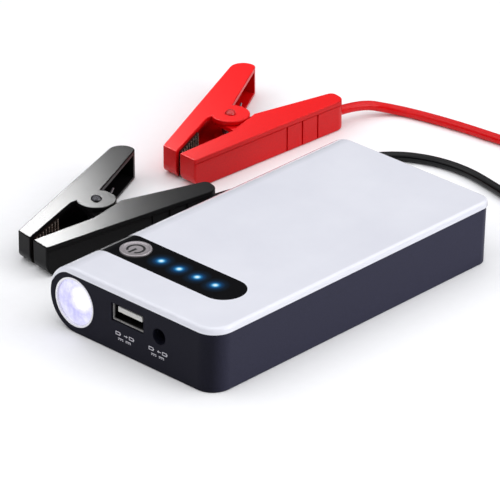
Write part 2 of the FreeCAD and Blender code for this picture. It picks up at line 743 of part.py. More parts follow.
def socket_centres():
    return [V(SOCKET_X + side * SOCKET_SPACING / 2, 0, SOCKET_Z) for side in (-1, 1)]


def lead_socket_body():
    half_x, half_z = SOCKET_WIDTH / 2, SOCKET_HEIGHT / 2
    body = block(
        (SOCKET_X - half_x, SOCKET_X + half_x),
        (SOCKET_BACK_Y, SOCKET_FACE_Y),
        (SOCKET_Z - half_z, SOCKET_Z + half_z),
    )
    for sleeve in socket_sleeves():
        body = body.cut(sleeve)
    return body


def socket_sleeves():
    """The two sleeves as plain rods, from behind their floors to the socket's face."""
    length = SOCKET_BORE_DEPTH + SLEEVE_FLOOR
    backs = [centre + V(0, SOCKET_FACE_Y - length, 0) for centre in socket_centres()]
    return [rod(SLEEVE_R, back, V(0, 1, 0), length) for back in backs]


def lead_socket_contacts():
    sleeves = []
    for centre, sleeve in zip(socket_centres(), socket_sleeves()):
        floor = centre + V(0, SOCKET_FACE_Y - SOCKET_BORE_DEPTH, 0)
        sleeves.append(sleeve.cut(rod(SOCKET_BORE_R, floor, V(0, 1, 0), SOCKET_BORE_DEPTH)))
    return Part.makeCompound(sleeves)


def socket_cover():
    """A rubber flap that swings down about a pin along its lower edge."""
    half = FLAP_WIDTH / 2
    xs = (SOCKET_X - half, SOCKET_X + half)
    ys = (CASE_END - FLAP_THICK, CASE_END)
    flap = block(xs, ys, (FLAP_PIN_Z, FLAP_TOP_Z))
    outer = [e for e in flap.Edges if e.BoundBox.YMin > CASE_END - 0.01 and e.BoundBox.ZMax > FLAP_PIN_Z + 1]
    flap = flap.makeFillet(FLAP_EDGE_R, outer)
    pull = block((SOCKET_X - PULL_HALF, SOCKET_X + PULL_HALF), (CASE_END, CASE_END + PULL_PROUD), PULL_Z)
    knuckle = rod(FLAP_THICK / 2, V(xs[0], FLAP_PIN_Y, FLAP_PIN_Z), V(1, 0, 0), FLAP_WIDTH)
    bore_start = V(xs[0] - 1, FLAP_PIN_Y, FLAP_PIN_Z)
    bore = rod(FLAP_PIN_R + FLAP_PIN_PLAY, bore_start, V(1, 0, 0), FLAP_WIDTH + 2)
    return flap.fuse(knuckle).fuse(pull).cut(bore).removeSplitter()


def socket_cover_pin():
    length = FLAP_WIDTH + 2 * FLAP_PIN_OVERHANG
    return rod(FLAP_PIN_R, V(SOCKET_X - length / 2, FLAP_PIN_Y, FLAP_PIN_Z), V(1, 0, 0), length)


def flat_edges(solid, height):
    return [e for e in solid.Edges if e.BoundBox.ZLength < 1e-6 and abs(e.BoundBox.ZMin - height) < 1e-6]


def soften(solid):
    """Rounds a lever form's upper outline a little, and its lower one more."""
    solid = solid.makeFillet(LEVER_TOP_R, flat_edges(solid, CLAMP_THICK))
    return solid.makeFillet(LEVER_BASE_R, flat_edges(solid, 0))


def under_round(edge_u, way):
    """What is cut away under a lever's end, to round it: way is +1 where the lever lies to +u."""
    corner = block(sorted((edge_u - way, edge_u + way * NOSE_R)), (-40, 40), (-1, NOSE_R))
    return corner.cut(rod(NOSE_R, V(edge_u + way * NOSE_R, -50, NOSE_R), V(0, 1, 0), 100))


def clamp_upper_lever():
    """The lever that turns: a channel, open inwards, with an outer ear each side of the pivot."""
    outline = [
        (UPPER_NOSE_OUT.x, UPPER_NOSE_OUT.y, 0.8),
        (UPPER_NOSE_IN.x, UPPER_NOSE_IN.y, 0.4),
        (UPPER_ARMPIT.x, UPPER_ARMPIT.y, 1.5),
        (3.4, 3.5, 2.0),
        (UPPER_END_U + 1.4, 24.2, 2.6),
        (UPPER_END_U, UPPER_NOSE_OUT.y + UPPER_SLOPE * (UPPER_END_U - NOSE_U), 5.2),
    ]
    ears = soften(rod(EAR_R, V(0, 0, 0), UP, CLAMP_THICK))
    lever = soften(plate(outline, 0, CLAMP_THICK)).fuse(ears)
    spine_drop = LEVER_SPINE * math.sqrt(1 + UPPER_SLOPE**2)
    nose_u, end_u = NOSE_U + NOSE_WALL, UPPER_END_U - 3.2
    hollow = [
        (nose_u, UPPER_NOSE_OUT.y + UPPER_SLOPE * (nose_u - NOSE_U) - spine_drop, 0),
        (end_u, UPPER_NOSE_OUT.y + UPPER_SLOPE * (end_u - NOSE_U) - spine_drop, 1.0),
        (end_u + 4, 18.0, 0),
        (12.0, -20.0, 0),
        (nose_u, -20.0, 0),
    ]
    lever = lever.cut(plate(hollow, CLAMP_PLATE, CLAMP_THICK - CLAMP_PLATE))
    lever = lever.cut(under_round(NOSE_U, 1))
    return lever.cut(rod(PIN_R + PIN_PLAY, V(0, 0, -1), UP, CLAMP_THICK + 2)).removeSplitter()


def clamp_lower_lever():
    """The lever that holds the cable: a channel, open inwards, with inner ears on the pivot."""
    outline = [
        (NOSE_U, LOWER_OUTER_V, 0.8),
        (LOWER_END_U - 1.0, LOWER_OUTER_V, 4.2),
        (LOWER_END_U, -12.6, 2.4),
        (6.3, -6.2, 0),
        (LOWER_THROAT.x, LOWER_THROAT.y, 0),
        (LOWER_NOSE_IN.x, LOWER_NOSE_IN.y, 0.4),
    ]
    lever = plate(outline, 0, CLAMP_THICK)
    lever = soften(lever.cut(rod(EAR_CLEARANCE_R, V(0, 0, -1), UP, CLAMP_THICK + 2)))
    lever = lever.cut(under_round(NOSE_U, 1)).cut(under_round(LOWER_END_U, -1))
    inside_v = LOWER_OUTER_V + LEVER_SPINE
    hollow = [
        (NOSE_U + NOSE_WALL, inside_v, 0),
        (LOWER_END_U - 4.0, inside_v, 1.0),
        (LOWER_END_U - 4.0, 0, 0),
        (NOSE_U + NOSE_WALL, 0, 0),
    ]
    lever = lever.cut(plate(hollow, CLAMP_PLATE, CLAMP_THICK - CLAMP_PLATE))
    ear_low = CLAMP_PLATE + INNER_EAR_GAP
    for low in (ear_low, CLAMP_THICK - ear_low - INNER_EAR_THICK):
        high = low + INNER_EAR_THICK
        web = plate([(-6, 0, 0), (6, 0, 0), (7, inside_v, 0), (-7, inside_v, 0)], low, high)
        lever = lever.fuse(rod(INNER_EAR_R, V(0, 0, low), UP, INNER_EAR_THICK).fuse(web))
    lever = lever.cut(rod(PIN_R, V(0, 0, -1), UP, CLAMP_THICK + 2))
    for u in GRIP_GROOVES_U:
        us = (u - GRIP_GROOVE_WIDTH / 2, u + GRIP_GROOVE_WIDTH / 2)
        vs = (LOWER_OUTER_V - 1, LOWER_OUTER_V + GRIP_GROOVE_DEPTH)
        lever = lever.cut(block(us, vs, (-1, PANEL_LINE_Z[1])))
    line_vs = (LOWER_OUTER_V - 1, LOWER_OUTER_V + PANEL_LINE_DEPTH)
    lever = lever.cut(block((NOSE_U - 1, LOWER_END_U + 1), line_vs, PANEL_LINE_Z))
    exit_hole = rod(CABLE_R + 0.15, V(LOWER_END_U - 5.4, CABLE_V, EXIT_Z), V(1, 0, 0), 10)
    return lever.cut(exit_hole).removeSplitter()


def toothed_strip(nose, end, side):
    """A metal jaw along a lever's inner edge. Side is +1 for teeth on the left of nose to end."""
    along = (end - nose).normalize()
    out = V(-along.y, along.x) * side
    start = nose + along * JAW_START
    teeth = int(JAW_LENGTH / TOOTH_PITCH)
    points = [start, start + out * JAW_BASE]
    for n in range(teeth):
        foot = start + along * (n * TOOTH_PITCH) + out * JAW_BASE
        points.append(foot + along * (TOOTH_PITCH * 0.35) + out * TOOTH_HEIGHT)
        points.append(foot + along * TOOTH_PITCH)
    points.append(start + along * (teeth * TOOTH_PITCH))
    face = Part.Face(Part.makePolygon(points + [start]))
    face.translate(V(0, 0, JAW_MARGIN))
    return face.extrude(V(0, 0, CLAMP_THICK - 2 * JAW_MARGIN))


def clamp_upper_jaw():
    return toothed_strip(UPPER_NOSE_IN, UPPER_ARMPIT, -1)


def clamp_lower_jaw():
    return toothed_strip(LOWER_NOSE_IN, LOWER_THROAT, 1)


def clamp_pin():
    shank = rod(PIN_R, V(0, 0, PIN_END_GAP), UP, CLAMP_THICK)
    head_z = CLAMP_THICK + PIN_END_GAP
    head = rod(PIN_HEAD_R, V(0, 0, head_z), UP, PIN_HEAD_HEIGHT)
    dome = Part.makeSphere(PIN_DOME_R, V(0, 0, head_z + PIN_HEAD_HEIGHT - PIN_DOME_R))
    return shank.fuse(head.common(dome))


def clamp_spring():
    """A torsion spring round the pin, with one leg against each lever's channel."""
    low = CLAMP_THICK / 2 - SPRING_TURNS * SPRING_PITCH / 2
    high = low + SPRING_TURNS * SPRING_PITCH
    coil = Part.makeHelix(SPRING_PITCH, high - low, SPRING_R)
    coil.translate(V(0, 0, low))
    section = Part.Wire(Part.makeCircle(SPRING_WIRE_R, V(SPRING_R, 0, low), V(0, 1, 0)))
    spring = Part.Wire(coil).makePipeShell([section], True, True)
    first, last = V(SPRING_R, 0, low), V(SPRING_R, 0, high)
    lower_leg = rod(SPRING_WIRE_R, first, V(0.82, -0.57, 0), 14)
    upper_leg = rod(SPRING_WIRE_R, last, V(0.76, 0.65, 0), 16)
    return spring.fuse(lower_leg).fuse(upper_leg)


def cable_crimp():
    """The copper sleeve on the cable's end, and the strap from it to the lower jaw."""
    sleeve = rod(CRIMP_R, V(CRIMP_START_U, CABLE_V, EXIT_Z), V(1, 0, 0), CABLE_START_U - CRIMP_START_U)
    strap_vs = (CABLE_V - STRAP_THICK / 2, CABLE_V + STRAP_THICK / 2)
    strap = block((STRAP_START_U, CRIMP_START_U + 1), strap_vs, STRAP_Z)
    return sleeve.fuse(strap)


def plug_placement():
    return FreeCAD.Placement(PLUG_REAR, FreeCAD.Rotation(UP, PLUG_HEADING))


def clamp_placement(colour):
    pivot, heading = CLAMP_PLACES[colour]
    return FreeCAD.Placement(pivot, FreeCAD.Rotation(UP, heading))


def lead_route(colour):
    """The cable's points: out of the clamp's handle, over the floor, into the plug's boot."""
    clamp, plug = clamp_placement(colour), plug_placement()
    side = {"black": -1, "red": 1}[colour] * PLUG_CABLE_GAP
    plug_z = PLUG_HEIGHT / 2
    return [
        clamp.multVec(V(CABLE_START_U, CABLE_V, EXIT_Z)),
        clamp.multVec(V(FIRST_BEND_U[colour], CABLE_V, EXIT_Z)),
        *FREE_ROUTES[colour],
        plug.multVec(V(-PLUG_RUN, side, plug_z)),
        plug.multVec(V(0, side, plug_z)),
    ]


def plug_boot():
    """The soft tapered block that the two cables enter."""
    middle = PLUG_HEIGHT / 2
    sections = []
    for u, (half_width, half_height) in ((0, PLUG_BOOT_REAR), (PLUG_BOOT_LENGTH, PLUG_BOOT_FRONT)):
        corners = [
            V(u, a * half_width, middle + b * half_height)
            for a, b in ((-1, -1), (1, -1), (1, 1), (-1, 1), (-1, -1))
        ]
        sections.append(Part.makePolygon(corners))
    boot = Part.makeLoft(sections, True)
    long_edges = [e for e in boot.Edges if e.BoundBox.XLength > 1]
    return boot.makeFillet(PLUG_BOOT_EDGE_R, long_edges)


def plug_housing():
    start, end = PLUG_BOOT_LENGTH, PLUG_BOOT_LENGTH + PLUG_LENGTH
    half = PLUG_WIDTH / 2
    body = block((start, end), (-half, half), (0, PLUG_HEIGHT))
    long_edges = [e for e in body.Edges if e.BoundBox.XLength > 1]
    return body.makeFillet(PLUG_EDGE_R, long_edges)


def plug_pins():
    start = PLUG_BOOT_LENGTH + PLUG_LENGTH
    pins = []
    for side in (-1, 1):
        foot = V(start, side * SOCKET_SPACING / 2, PLUG_HEIGHT / 2)
        pin = rod(PLUG_PIN_R, foot, V(1, 0, 0), PLUG_PIN_LENGTH)
        tip = [e for e in pin.Edges if e.BoundBox.XMin > start + PLUG_PIN_LENGTH - 0.01]
        pins.append(pin.makeFillet(PLUG_PIN_TIP_R, tip))
    return Part.makeCompound(pins)


PACK_PIECES = (
    top_cover,
    bottom_case,
    case_screws,
    indicator_strip,
    power_button,
    button_switch,
    indicator_board,
    indicator_lights,
    main_circuit_board,
    board_components,
    usb_shell,
    usb_tongue,
    usb_contacts,
    dc_jack_body,
    dc_jack_pin,
    torch_bezel,
    torch_lens,
    torch_reflector,
    torch_led,
    torch_board,
    battery_cells,
    cell_pads,
    cell_board,
    cell_tabs,
    internal_leads,
    lead_socket_body,
    lead_socket_contacts,
    socket_cover,
    socket_cover_pin,
)
CLAMP_PIECES = (
    clamp_upper_lever,
    clamp_lower_lever,
    clamp_upper_jaw,
    clamp_lower_jaw,
    clamp_pin,
    clamp_spring,
    cable_crimp,
)
PLUG_PIECES = (plug_boot, plug_housing, plug_pins)

os.makedirs("parts", exist_ok=True)
for piece in PACK_PIECES:
    save(piece.__name__, piece())
for piece in CLAMP_PIECES:
    for colour in CLAMP_PLACES:
        shape = piece()
        shape.Placement = clamp_placement(colour).multiply(shape.Placement)
        save(f"{colour}_{piece.__name__}", shape)
for piece in PLUG_PIECES:
    shape = piece()
    shape.Placement = plug_placement().multiply(shape.Placement)
    save(piece.__name__, shape)
for colour in CLAMP_PLACES:
    save(f"{colour}_cable", bent_tube(lead_route(colour), CABLE_R))
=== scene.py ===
import math

import bmesh
import bpy
from mathutils import Matrix, Vector


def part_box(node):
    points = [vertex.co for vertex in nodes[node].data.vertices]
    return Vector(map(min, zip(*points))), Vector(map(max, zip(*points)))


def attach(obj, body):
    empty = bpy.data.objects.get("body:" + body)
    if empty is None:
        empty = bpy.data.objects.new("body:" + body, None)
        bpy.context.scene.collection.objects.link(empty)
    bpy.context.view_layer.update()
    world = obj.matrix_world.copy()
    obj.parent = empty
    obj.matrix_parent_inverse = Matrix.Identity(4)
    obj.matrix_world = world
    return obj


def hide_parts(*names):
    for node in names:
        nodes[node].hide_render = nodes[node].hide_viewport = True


# A pocket jump starter pack with its pair of clamp leads. Metres, +Z up, in the CAD model's frame:
# the pack stands on the floor about the origin, and its torch and ports face -Y.

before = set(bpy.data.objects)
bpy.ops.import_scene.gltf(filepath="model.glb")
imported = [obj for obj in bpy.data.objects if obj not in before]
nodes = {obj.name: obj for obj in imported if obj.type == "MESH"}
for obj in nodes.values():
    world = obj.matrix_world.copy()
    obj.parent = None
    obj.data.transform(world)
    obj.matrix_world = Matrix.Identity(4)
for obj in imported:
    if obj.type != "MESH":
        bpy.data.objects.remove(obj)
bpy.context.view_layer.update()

CAMERA_AZIMUTH = math.radians(43.936)
CAMERA_ELEVATION = math.radians(27.11)
CAMERA_TARGET = Vector((-0.01287, 0.00165, 0.0125))
CAMERA_DISTANCE = 1.6808
CAMERA_LENS = 346.0

CABLE_R = 0.00185
ROUTES = {
    "black": [
        (-0.05839, 0.01828, 0.0060),
        (-0.05511, 0.04105, 0.0060),
        (-0.0526, 0.0615, CABLE_R),
        (-0.0500, 0.0795, CABLE_R),
        (-0.0473, 0.0955, CABLE_R),
        (-0.0390, 0.1070, CABLE_R),
        (-0.0265, 0.1133, CABLE_R),
        (-0.0120, 0.1150, CABLE_R),
        (0.0030, 0.1123, CABLE_R),
        (0.0170, 0.1088, CABLE_R),
        (0.0310, 0.1105, CABLE_R),
        (0.0445, 0.1165, CABLE_R),
        (0.05824, 0.11890, 0.0058),
        (0.06950, 0.11240, 0.0058),
    ],
    "red": [
        (-0.07580, 0.10408, 0.0060),
        (-0.07477, 0.12305, 0.0060),
        (-0.0665, 0.1355, CABLE_R),
        (-0.0515, 0.1392, CABLE_R),
        (-0.0360, 0.1417, CABLE_R),
        (-0.0205, 0.1432, CABLE_R),
        (-0.0055, 0.1453, CABLE_R),
        (0.0090, 0.1495, CABLE_R),
        (0.0250, 0.1525, CABLE_R),
        (0.0400, 0.1485, CABLE_R),
        (0.0515, 0.1375, CABLE_R),
        (0.06124, 0.12410, 0.0058),
        (0.07250, 0.11760, 0.0058),
    ],
}
CLAMP_HEADINGS = {"black": 81.8, "red": 86.9}  # from jaws to handles, in degrees about +Z
TOOTH_TURNS = {"upper": -64.0, "lower": 91.9}  # which way each jaw's teeth point, from the heading

WIRE_SIDES = 12
SAME_PLACE = 1e-7
PRINT_LINE = 0.00028


# ---- camera, floor and light ----

def linear(hexadecimal):
    """A colour written as on a paint chart, as the linear numbers that a shader takes."""
    shares = [int(hexadecimal[n : n + 2], 16) / 255 for n in (0, 2, 4)]
    return [s / 12.92 if s <= 0.04045 else ((s + 0.055) / 1.055) ** 2.4 for s in shares] + [1.0]


def direction(azimuth, elevation):
    """From the object towards a viewer at that azimuth and elevation."""
    flat = math.cos(elevation)
    return Vector((math.sin(azimuth) * flat, -math.cos(azimuth) * flat, math.sin(elevation)))


def aim(thing, towards):
    thing.rotation_mode = "QUATERNION"
    thing.rotation_quaternion = (towards - thing.location).to_track_quat("-Z", "Y")


def add_camera():
    data = bpy.data.cameras.new("camera")
    data.lens = CAMERA_LENS
    data.clip_end = 20
    camera = bpy.data.objects.new("camera", data)
    bpy.context.collection.objects.link(camera)
    towards_camera = direction(CAMERA_AZIMUTH, CAMERA_ELEVATION)
    camera.location = CAMERA_TARGET + towards_camera * CAMERA_DISTANCE
    aim(camera, CAMERA_TARGET)
    bpy.context.scene.camera = camera


def add_softbox(name, place, target, size, power):
    data = bpy.data.lights.new(name, "AREA")
    data.shape = "DISK"
    data.size = size
    data.energy = power
    light = bpy.data.objects.new(name, data)
    bpy.context.collection.objects.link(light)
    light.location = place
    light.visible_camera = False
    aim(light, target)
    return light


def add_world():
    """A studio that is bright overhead and dim towards the horizon."""
    world = bpy.data.worlds.new("studio")
    world.use_nodes = True
    tree = world.node_tree
    backdrop = tree.nodes["Background"]
    backdrop.inputs["Color"].default_value = (0.97, 0.975, 1.0, 1.0)
    way = tree.nodes.new("ShaderNodeTexCoord")
    parts = tree.nodes.new("ShaderNodeSeparateXYZ")
    strength = tree.nodes.new("ShaderNodeMapRange")
    strength.interpolation_type = "SMOOTHSTEP"
    strength.inputs["From Min"].default_value = 0.42
    strength.inputs["From Max"].default_value = 0.78
    strength.inputs["To Min"].default_value = 0.10
    strength.inputs["To Max"].default_value = 1.18
    tree.links.new(way.outputs["Generated"], parts.inputs["Vector"])
    tree.links.new(parts.outputs["Z"], strength.inputs["Value"])
    tree.links.new(strength.outputs["Result"], backdrop.inputs["Strength"])
    bpy.context.scene.world = world


def add_lights():
    """Five large soft lamps round the object, and two small ones for single parts."""
    centre = Vector((0, 0, 0.01))
    add_softbox("overhead", Vector((0.1, -0.1, 1.4)), centre, 1.0, 1.6)
    add_softbox("back_right", Vector((0.50, 0.70, 0.68)), centre, 0.7, 1.6)
    add_softbox("front_left", Vector((-0.62, -0.46, 0.64)), centre, 0.7, 1.2)
    add_softbox("right", Vector((0.9, 0.3, 0.36)), centre, 0.7, 4.0)
    add_softbox("front", Vector((-0.1, -1.0, 0.5)), centre, 0.9, 1.4)
    add_clamp_sheen()
    case_fill = add_softbox("case_fill", Vector((0.8, 0.6, 0.3)), centre, 0.4, 36.0)
    light_only(case_fill, "bottom_case")


def light_only(lamp, *names):
    """Keeps a lamp's light to some of the CAD nodes."""
    lit = bpy.data.collections.new(f"{lamp.name}_receivers")
    for name in names:
        lit.objects.link(nodes[name])
    lamp.light_linking.receiver_collection = lit


def add_clamp_sheen():
    """A small lamp for the clamps alone, which shines off their upper faces near the noses."""
    nose = Vector((-0.076, -0.061, 0.012))
    lamp = add_softbox("clamp_sheen", nose + Vector((-0.173, 0.180, 0.128)), nose, 0.05, 0.5)
    light_only(lamp, *both("clamp_upper_lever", "clamp_lower_lever"))


def add_floor():
    mesh = bpy.data.meshes.new("floor")
    half = 4.0
    corners = [(-half, -half, 0), (half, -half, 0), (half, half, 0), (-half, half, 0)]
    mesh.from_pydata(corners, [], [(0, 1, 2, 3)])
    floor = bpy.data.objects.new("floor", mesh)
    bpy.context.collection.objects.link(floor)
    mesh.materials.append(surface("floor_paper", "f8f8f9", "fafafb", (0.85, 0.95), 0.004, 0.000002))


# ---- materials ----

def surface(name, low, high, roughness, grain, relief, stretch=(1, 1, 1), **sockets):
    """A material whose colour, roughness and relief all follow one noise. Grain is its size."""
    material = bpy.data.materials.new(name)
    material.use_nodes = True
    tree = material.node_tree
    shader = tree.nodes["Principled BSDF"]
    place = tree.nodes.new("ShaderNodeTexCoord")
    scale = tree.nodes.new("ShaderNodeMapping")
    scale.inputs["Scale"].default_value = [s / grain for s in stretch]
    noise = tree.nodes.new("ShaderNodeTexNoise")
    noise.name = "grain"
    noise.inputs["Scale"].default_value = 1.0
    noise.inputs["Detail"].default_value = 5.0
    noise.inputs["Roughness"].default_value = 0.6
    colour = tree.nodes.new("ShaderNodeValToRGB")
    colour.name = "colour"
    colour.color_ramp.elements[0].position = 0.3
    colour.color_ramp.elements[0].color = linear(low)
    colour.color_ramp.elements[1].position = 0.7
    colour.color_ramp.elements[1].color = linear(high)
    shine = tree.nodes.new("ShaderNodeMapRange")
    shine.inputs["From Min"].default_value = 0.3
    shine.inputs["From Max"].default_value = 0.7
    shine.inputs["To Min"].default_value = roughness[0]
    shine.inputs["To Max"].default_value = roughness[1]
    bump = tree.nodes.new("ShaderNodeBump")
    bump.inputs["Distance"].default_value = relief
    tree.links.new(place.outputs["Object"], scale.inputs["Vector"])
    tree.links.new(scale.outputs["Vector"], noise.inputs["Vector"])
    tree.links.new(noise.outputs["Fac"], colour.inputs["Fac"])
    tree.links.new(noise.outputs["Fac"], shine.inputs["Value"])
    tree.links.new(noise.outputs["Fac"], bump.inputs["Height"])
    tree.links.new(colour.outputs["Color"], shader.inputs["Base Color"])
    tree.links.new(shine.outputs["Result"], shader.inputs["Roughness"])
    tree.links.new(bump.outputs["Normal"], shader.inputs["Normal"])
    for socket, value in sockets.items():
        shader.inputs[socket.replace("_", " ")].default_value = value
    return material


def distance_from(tree, point):
    """The distance of the shaded point from a fixed one, as a node's output."""
    place = tree.nodes.new("ShaderNodeTexCoord")
    distance = tree.nodes.new("ShaderNodeVectorMath")
    distance.operation = "DISTANCE"
    distance.inputs[1].default_value = point
    tree.links.new(place.outputs["Object"], distance.inputs[0])
    return distance.outputs["Value"]


def glow(material, points, stops, reach, strength):
    """Light that the material gives off round each point: stops are (share of reach, colour)."""
    tree = material.node_tree
    nearest = distance_from(tree, points[0])
    for point in points[1:]:
        lesser = tree.nodes.new("ShaderNodeMath")
        lesser.operation = "MINIMUM"
        tree.links.new(nearest, lesser.inputs[0])
        tree.links.new(distance_from(tree, point), lesser.inputs[1])
        nearest = lesser.outputs["Value"]
    share = tree.nodes.new("ShaderNodeMath")
    share.operation = "DIVIDE"
    share.inputs[1].default_value = reach
    ramp = tree.nodes.new("ShaderNodeValToRGB")
    elements = ramp.color_ramp.elements
    while len(elements) < len(stops):
        elements.new(0.5)
    for element, (position, colour) in zip(elements, stops):
        element.position = position
        element.color = linear(colour)
    shader = tree.nodes["Principled BSDF"]
    tree.links.new(nearest, share.inputs[0])
    tree.links.new(share.outputs["Value"], ramp.inputs["Fac"])
    tree.links.new(ramp.outputs["Color"], shader.inputs["Emission Color"])
    shader.inputs["Emission Strength"].default_value = strength


def fade(material, way, start, end, colour):
    """Turns the material's colour into another, from start to end along a direction."""
    tree = material.node_tree
    place = tree.nodes.new("ShaderNodeTexCoord")
    along = tree.nodes.new("ShaderNodeVectorMath")
    along.operation = "DOT_PRODUCT"
    along.inputs[1].default_value = way
    share = tree.nodes.new("ShaderNodeMapRange")
    share.inputs["From Min"].default_value = start
    share.inputs["From Max"].default_value = end
    mix = tree.nodes.new("ShaderNodeMix")
    mix.data_type = "RGBA"
    mix.inputs["B"].default_value = linear(colour)
    tree.links.new(place.outputs["Object"], along.inputs[0])
    tree.links.new(along.outputs["Value"], share.inputs["Value"])
    tree.links.new(share.outputs["Result"], mix.inputs["Factor"])
    tree.links.new(tree.nodes["colour"].outputs["Color"], mix.inputs["A"])
    tree.links.new(mix.outputs["Result"], tree.nodes["Principled BSDF"].inputs["Base Color"])


def paint(material, *names):
    """Puts the material on CAD nodes, in place of each slot's own."""
    for name in names:
        for slot in nodes[name].material_slots:
            slot.material = material


def both(*names):
    """The names with each clamp's colour before them."""
    return [f"{colour}_{name}" for name in names for colour in ("black", "red")]


def light_places():
    """The middle of each light pipe, at the height of the strip's face."""
    low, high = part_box("indicator_lights")
    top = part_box("indicator_strip")[1].z
    pipe_r = 0.0013
    count = 4
    first = low.x + pipe_r
    pitch = (high.x - low.x - 2 * pipe_r) / (count - 1)
    return [Vector((first + pitch * n, (low.y + high.y) / 2, top)) for n in range(count)]


def strip_black():
    material = surface(
        "strip_black", "020204", "06060a", (0.06, 0.12), 0.0008, 0.000001,
        Specular_IOR_Level=0.12,
    )
    stops = [
        (0.0, "ffffff"),
        (0.1, "c9efff"),
        (0.19, "5fb2e2"),
        (0.28, "16649c"),
        (0.42, "08355c"),
        (0.65, "041828"),
        (1.0, "000000"),
    ]
    # Painted light: the strip itself gives off a blue halo round each light pipe.
    glow(material, light_places(), stops, 0.0053, 1.0)
    return material


def paint_pack():
    white = surface(
        "cover_white", "dedfe8", "e4e5ed", (0.16, 0.26), 0.03, 0.00002,
        Coat_Weight=0.35,
    )
    paint(white, "top_cover")
    case = surface(
        "case_black", "13131c", "1a1a26", (0.32, 0.46), 0.0004, 0.000006,
        Specular_IOR_Level=0.06,
    )
    paint(case, "bottom_case", "dc_jack_body", "lead_socket_body")
    paint(strip_black(), "indicator_strip")
    paint(surface("switch_black", "151515", "202022", (0.4, 0.6), 0.0005, 0.000004), "button_switch")
    board = surface("circuit_board", "0f4d2c", "1b6a3f", (0.35, 0.55), 0.0015, 0.000008)
    paint(board, "indicator_board", "main_circuit_board", "torch_board", "cell_board")
    pipe = surface("light_pipe", "cfe6f6", "e6f4ff", (0.1, 0.2), 0.001, 0.000002, Alpha=0.8)
    paint(pipe, "indicator_lights")
    paint(surface("chip_black", "1a1a1c", "2c2c30", (0.4, 0.6), 0.0006, 0.000004), "board_components")
    nickel = surface(
        "nickel", "a9a8a6", "cfcecb", (0.16, 0.3), 0.0006, 0.000003, (1, 8, 1),
        Metallic=1.0,
    )
    paint(nickel, "dc_jack_pin", "cell_tabs")
    brass = surface("brass", "b98f45", "dcb568", (0.2, 0.38), 0.0005, 0.000003, Metallic=1.0)
    paint(brass, "lead_socket_contacts", "plug_pins")
    paint_usb()
    ring = surface("torch_ring", "e6e5ea", "fbfafd", (0.15, 0.3), 0.0005, 0.000002, Metallic=0.3)
    paint(ring, "torch_bezel")
    foil = surface("cell_foil", "9fa4a8", "c2c7ca", (0.25, 0.45), 0.003, 0.00004, Metallic=0.7)
    paint(foil, "battery_cells")
    paint(surface("foam", "2a2a2c", "3c3c40", (0.85, 1.0), 0.0008, 0.0001), "cell_pads")
    steel = surface(
        "steel", "7d7f84", "b4b6ba", (0.22, 0.4), 0.0005, 0.000004, (1, 1, 6),
        Metallic=1.0,
    )
    paint(steel, "case_screws", "socket_cover_pin")
    rubber = surface("rubber", "141416", "222226", (0.55, 0.75), 0.0005, 0.00001)
    paint(rubber, "socket_cover", "plug_boot")
    paint(surface("wire_sleeve", "1a1416", "8f1418", (0.35, 0.5), 0.02, 0.00001), "internal_leads")
    paint(surface("plug_blue", "1d3f8f", "2752ab", (0.3, 0.45), 0.0006, 0.000006), "plug_housing")


def paint_usb():
    """The outlet's metal, tongue and contacts, which all turn dark with depth; on the metal and
    contacts this is painted shade inside the port.
    """
    inwards = (0, 1, 0)
    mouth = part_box("usb_shell")[0].y
    shell = surface(
        "usb_nickel", "a9a8a7", "cbcac8", (0.25, 0.36), 0.0006, 0.000003,
        Metallic=0.3,
    )
    # Painted shade: the shell turns near black within a millimetre inside the mouth.
    fade(shell, inwards, mouth + 0.0001, mouth + 0.0009, "0a0a0b")
    paint(shell, "usb_shell")
    tongue = surface("port_white", "c9c8c4", "dcdbd8", (0.35, 0.5), 0.0006, 0.000003)
    fade(tongue, inwards, mouth + 0.0075, mouth + 0.0092, "060606")
    paint(tongue, "usb_tongue")
    contact = surface(
        "usb_contact", "b98f45", "dcb568", (0.2, 0.38), 0.0005, 0.000003,
        Metallic=1.0,
    )
    # Painted shade: the contacts turn near black a few millimetres inside the mouth.
    fade(contact, inwards, mouth + 0.001, mouth + 0.003, "0c0a08")
    paint(contact, "usb_contacts")


def paint_jaws():
    """Dull coppered jaws, with a painted highlight that brightens the tips of their teeth."""
    for colour, heading in CLAMP_HEADINGS.items():
        for lever, turn in TOOTH_TURNS.items():
            name = f"{colour}_clamp_{lever}_jaw"
            angle = math.radians(heading + turn)
            out = Vector((math.cos(angle), math.sin(angle), 0))
            heights = [out.dot(vertex.co) for vertex in nodes[name].data.vertices]
            foot, tip = min(heights), max(heights)
            metal = surface(
                f"{name}_metal", "1d1512", "4a372e", (0.2, 0.34), 0.0004, 0.000004,
                Metallic=0.9,
            )
            # Painted highlight: the outer three tenths of each jaw, out to its tooth tips, fade to
            # near white as glints.
            fade(metal, out, foot + 0.7 * (tip - foot), tip, "ffeee2")
            paint(metal, name)


def paint_leads():
    black = surface(
        "black_clamp", "0a090a", "111011", (0.28, 0.34), 0.0006, 0.000004,
        Specular_IOR_Level=0.1,
    )
    paint(black, "black_clamp_upper_lever", "black_clamp_lower_lever")
    red = surface(
        "red_clamp", "c20005", "d20408", (0.32, 0.40), 0.0006, 0.000004,
        Specular_IOR_Level=0.25,
    )
    paint(red, "red_clamp_upper_lever", "red_clamp_lower_lever")
    paint_jaws()
    copper = surface(
        "crimp_copper", "5a4034", "a5836c", (0.18, 0.35), 0.0004, 0.000005,
        Metallic=1.0,
    )
    paint(copper, *both("cable_crimp"))
    grey_pin = surface(
        "black_pin", "3a3a3d", "606064", (0.22, 0.34), 0.0004, 0.000002,
        Metallic=0.9,
    )
    paint(grey_pin, "black_clamp_pin")
    red_pin = surface(
        "red_pin", "b40c10", "d01c1c", (0.2, 0.3), 0.0004, 0.000002,
        Coat_Weight=0.3,
    )
    paint(red_pin, "red_clamp_pin")


# ---- pieces ----

def link(name, mesh, body, material):
    piece = bpy.data.objects.new(name, mesh)
    bpy.context.collection.objects.link(piece)
    mesh.materials.append(material)
    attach(piece, body)
    return piece


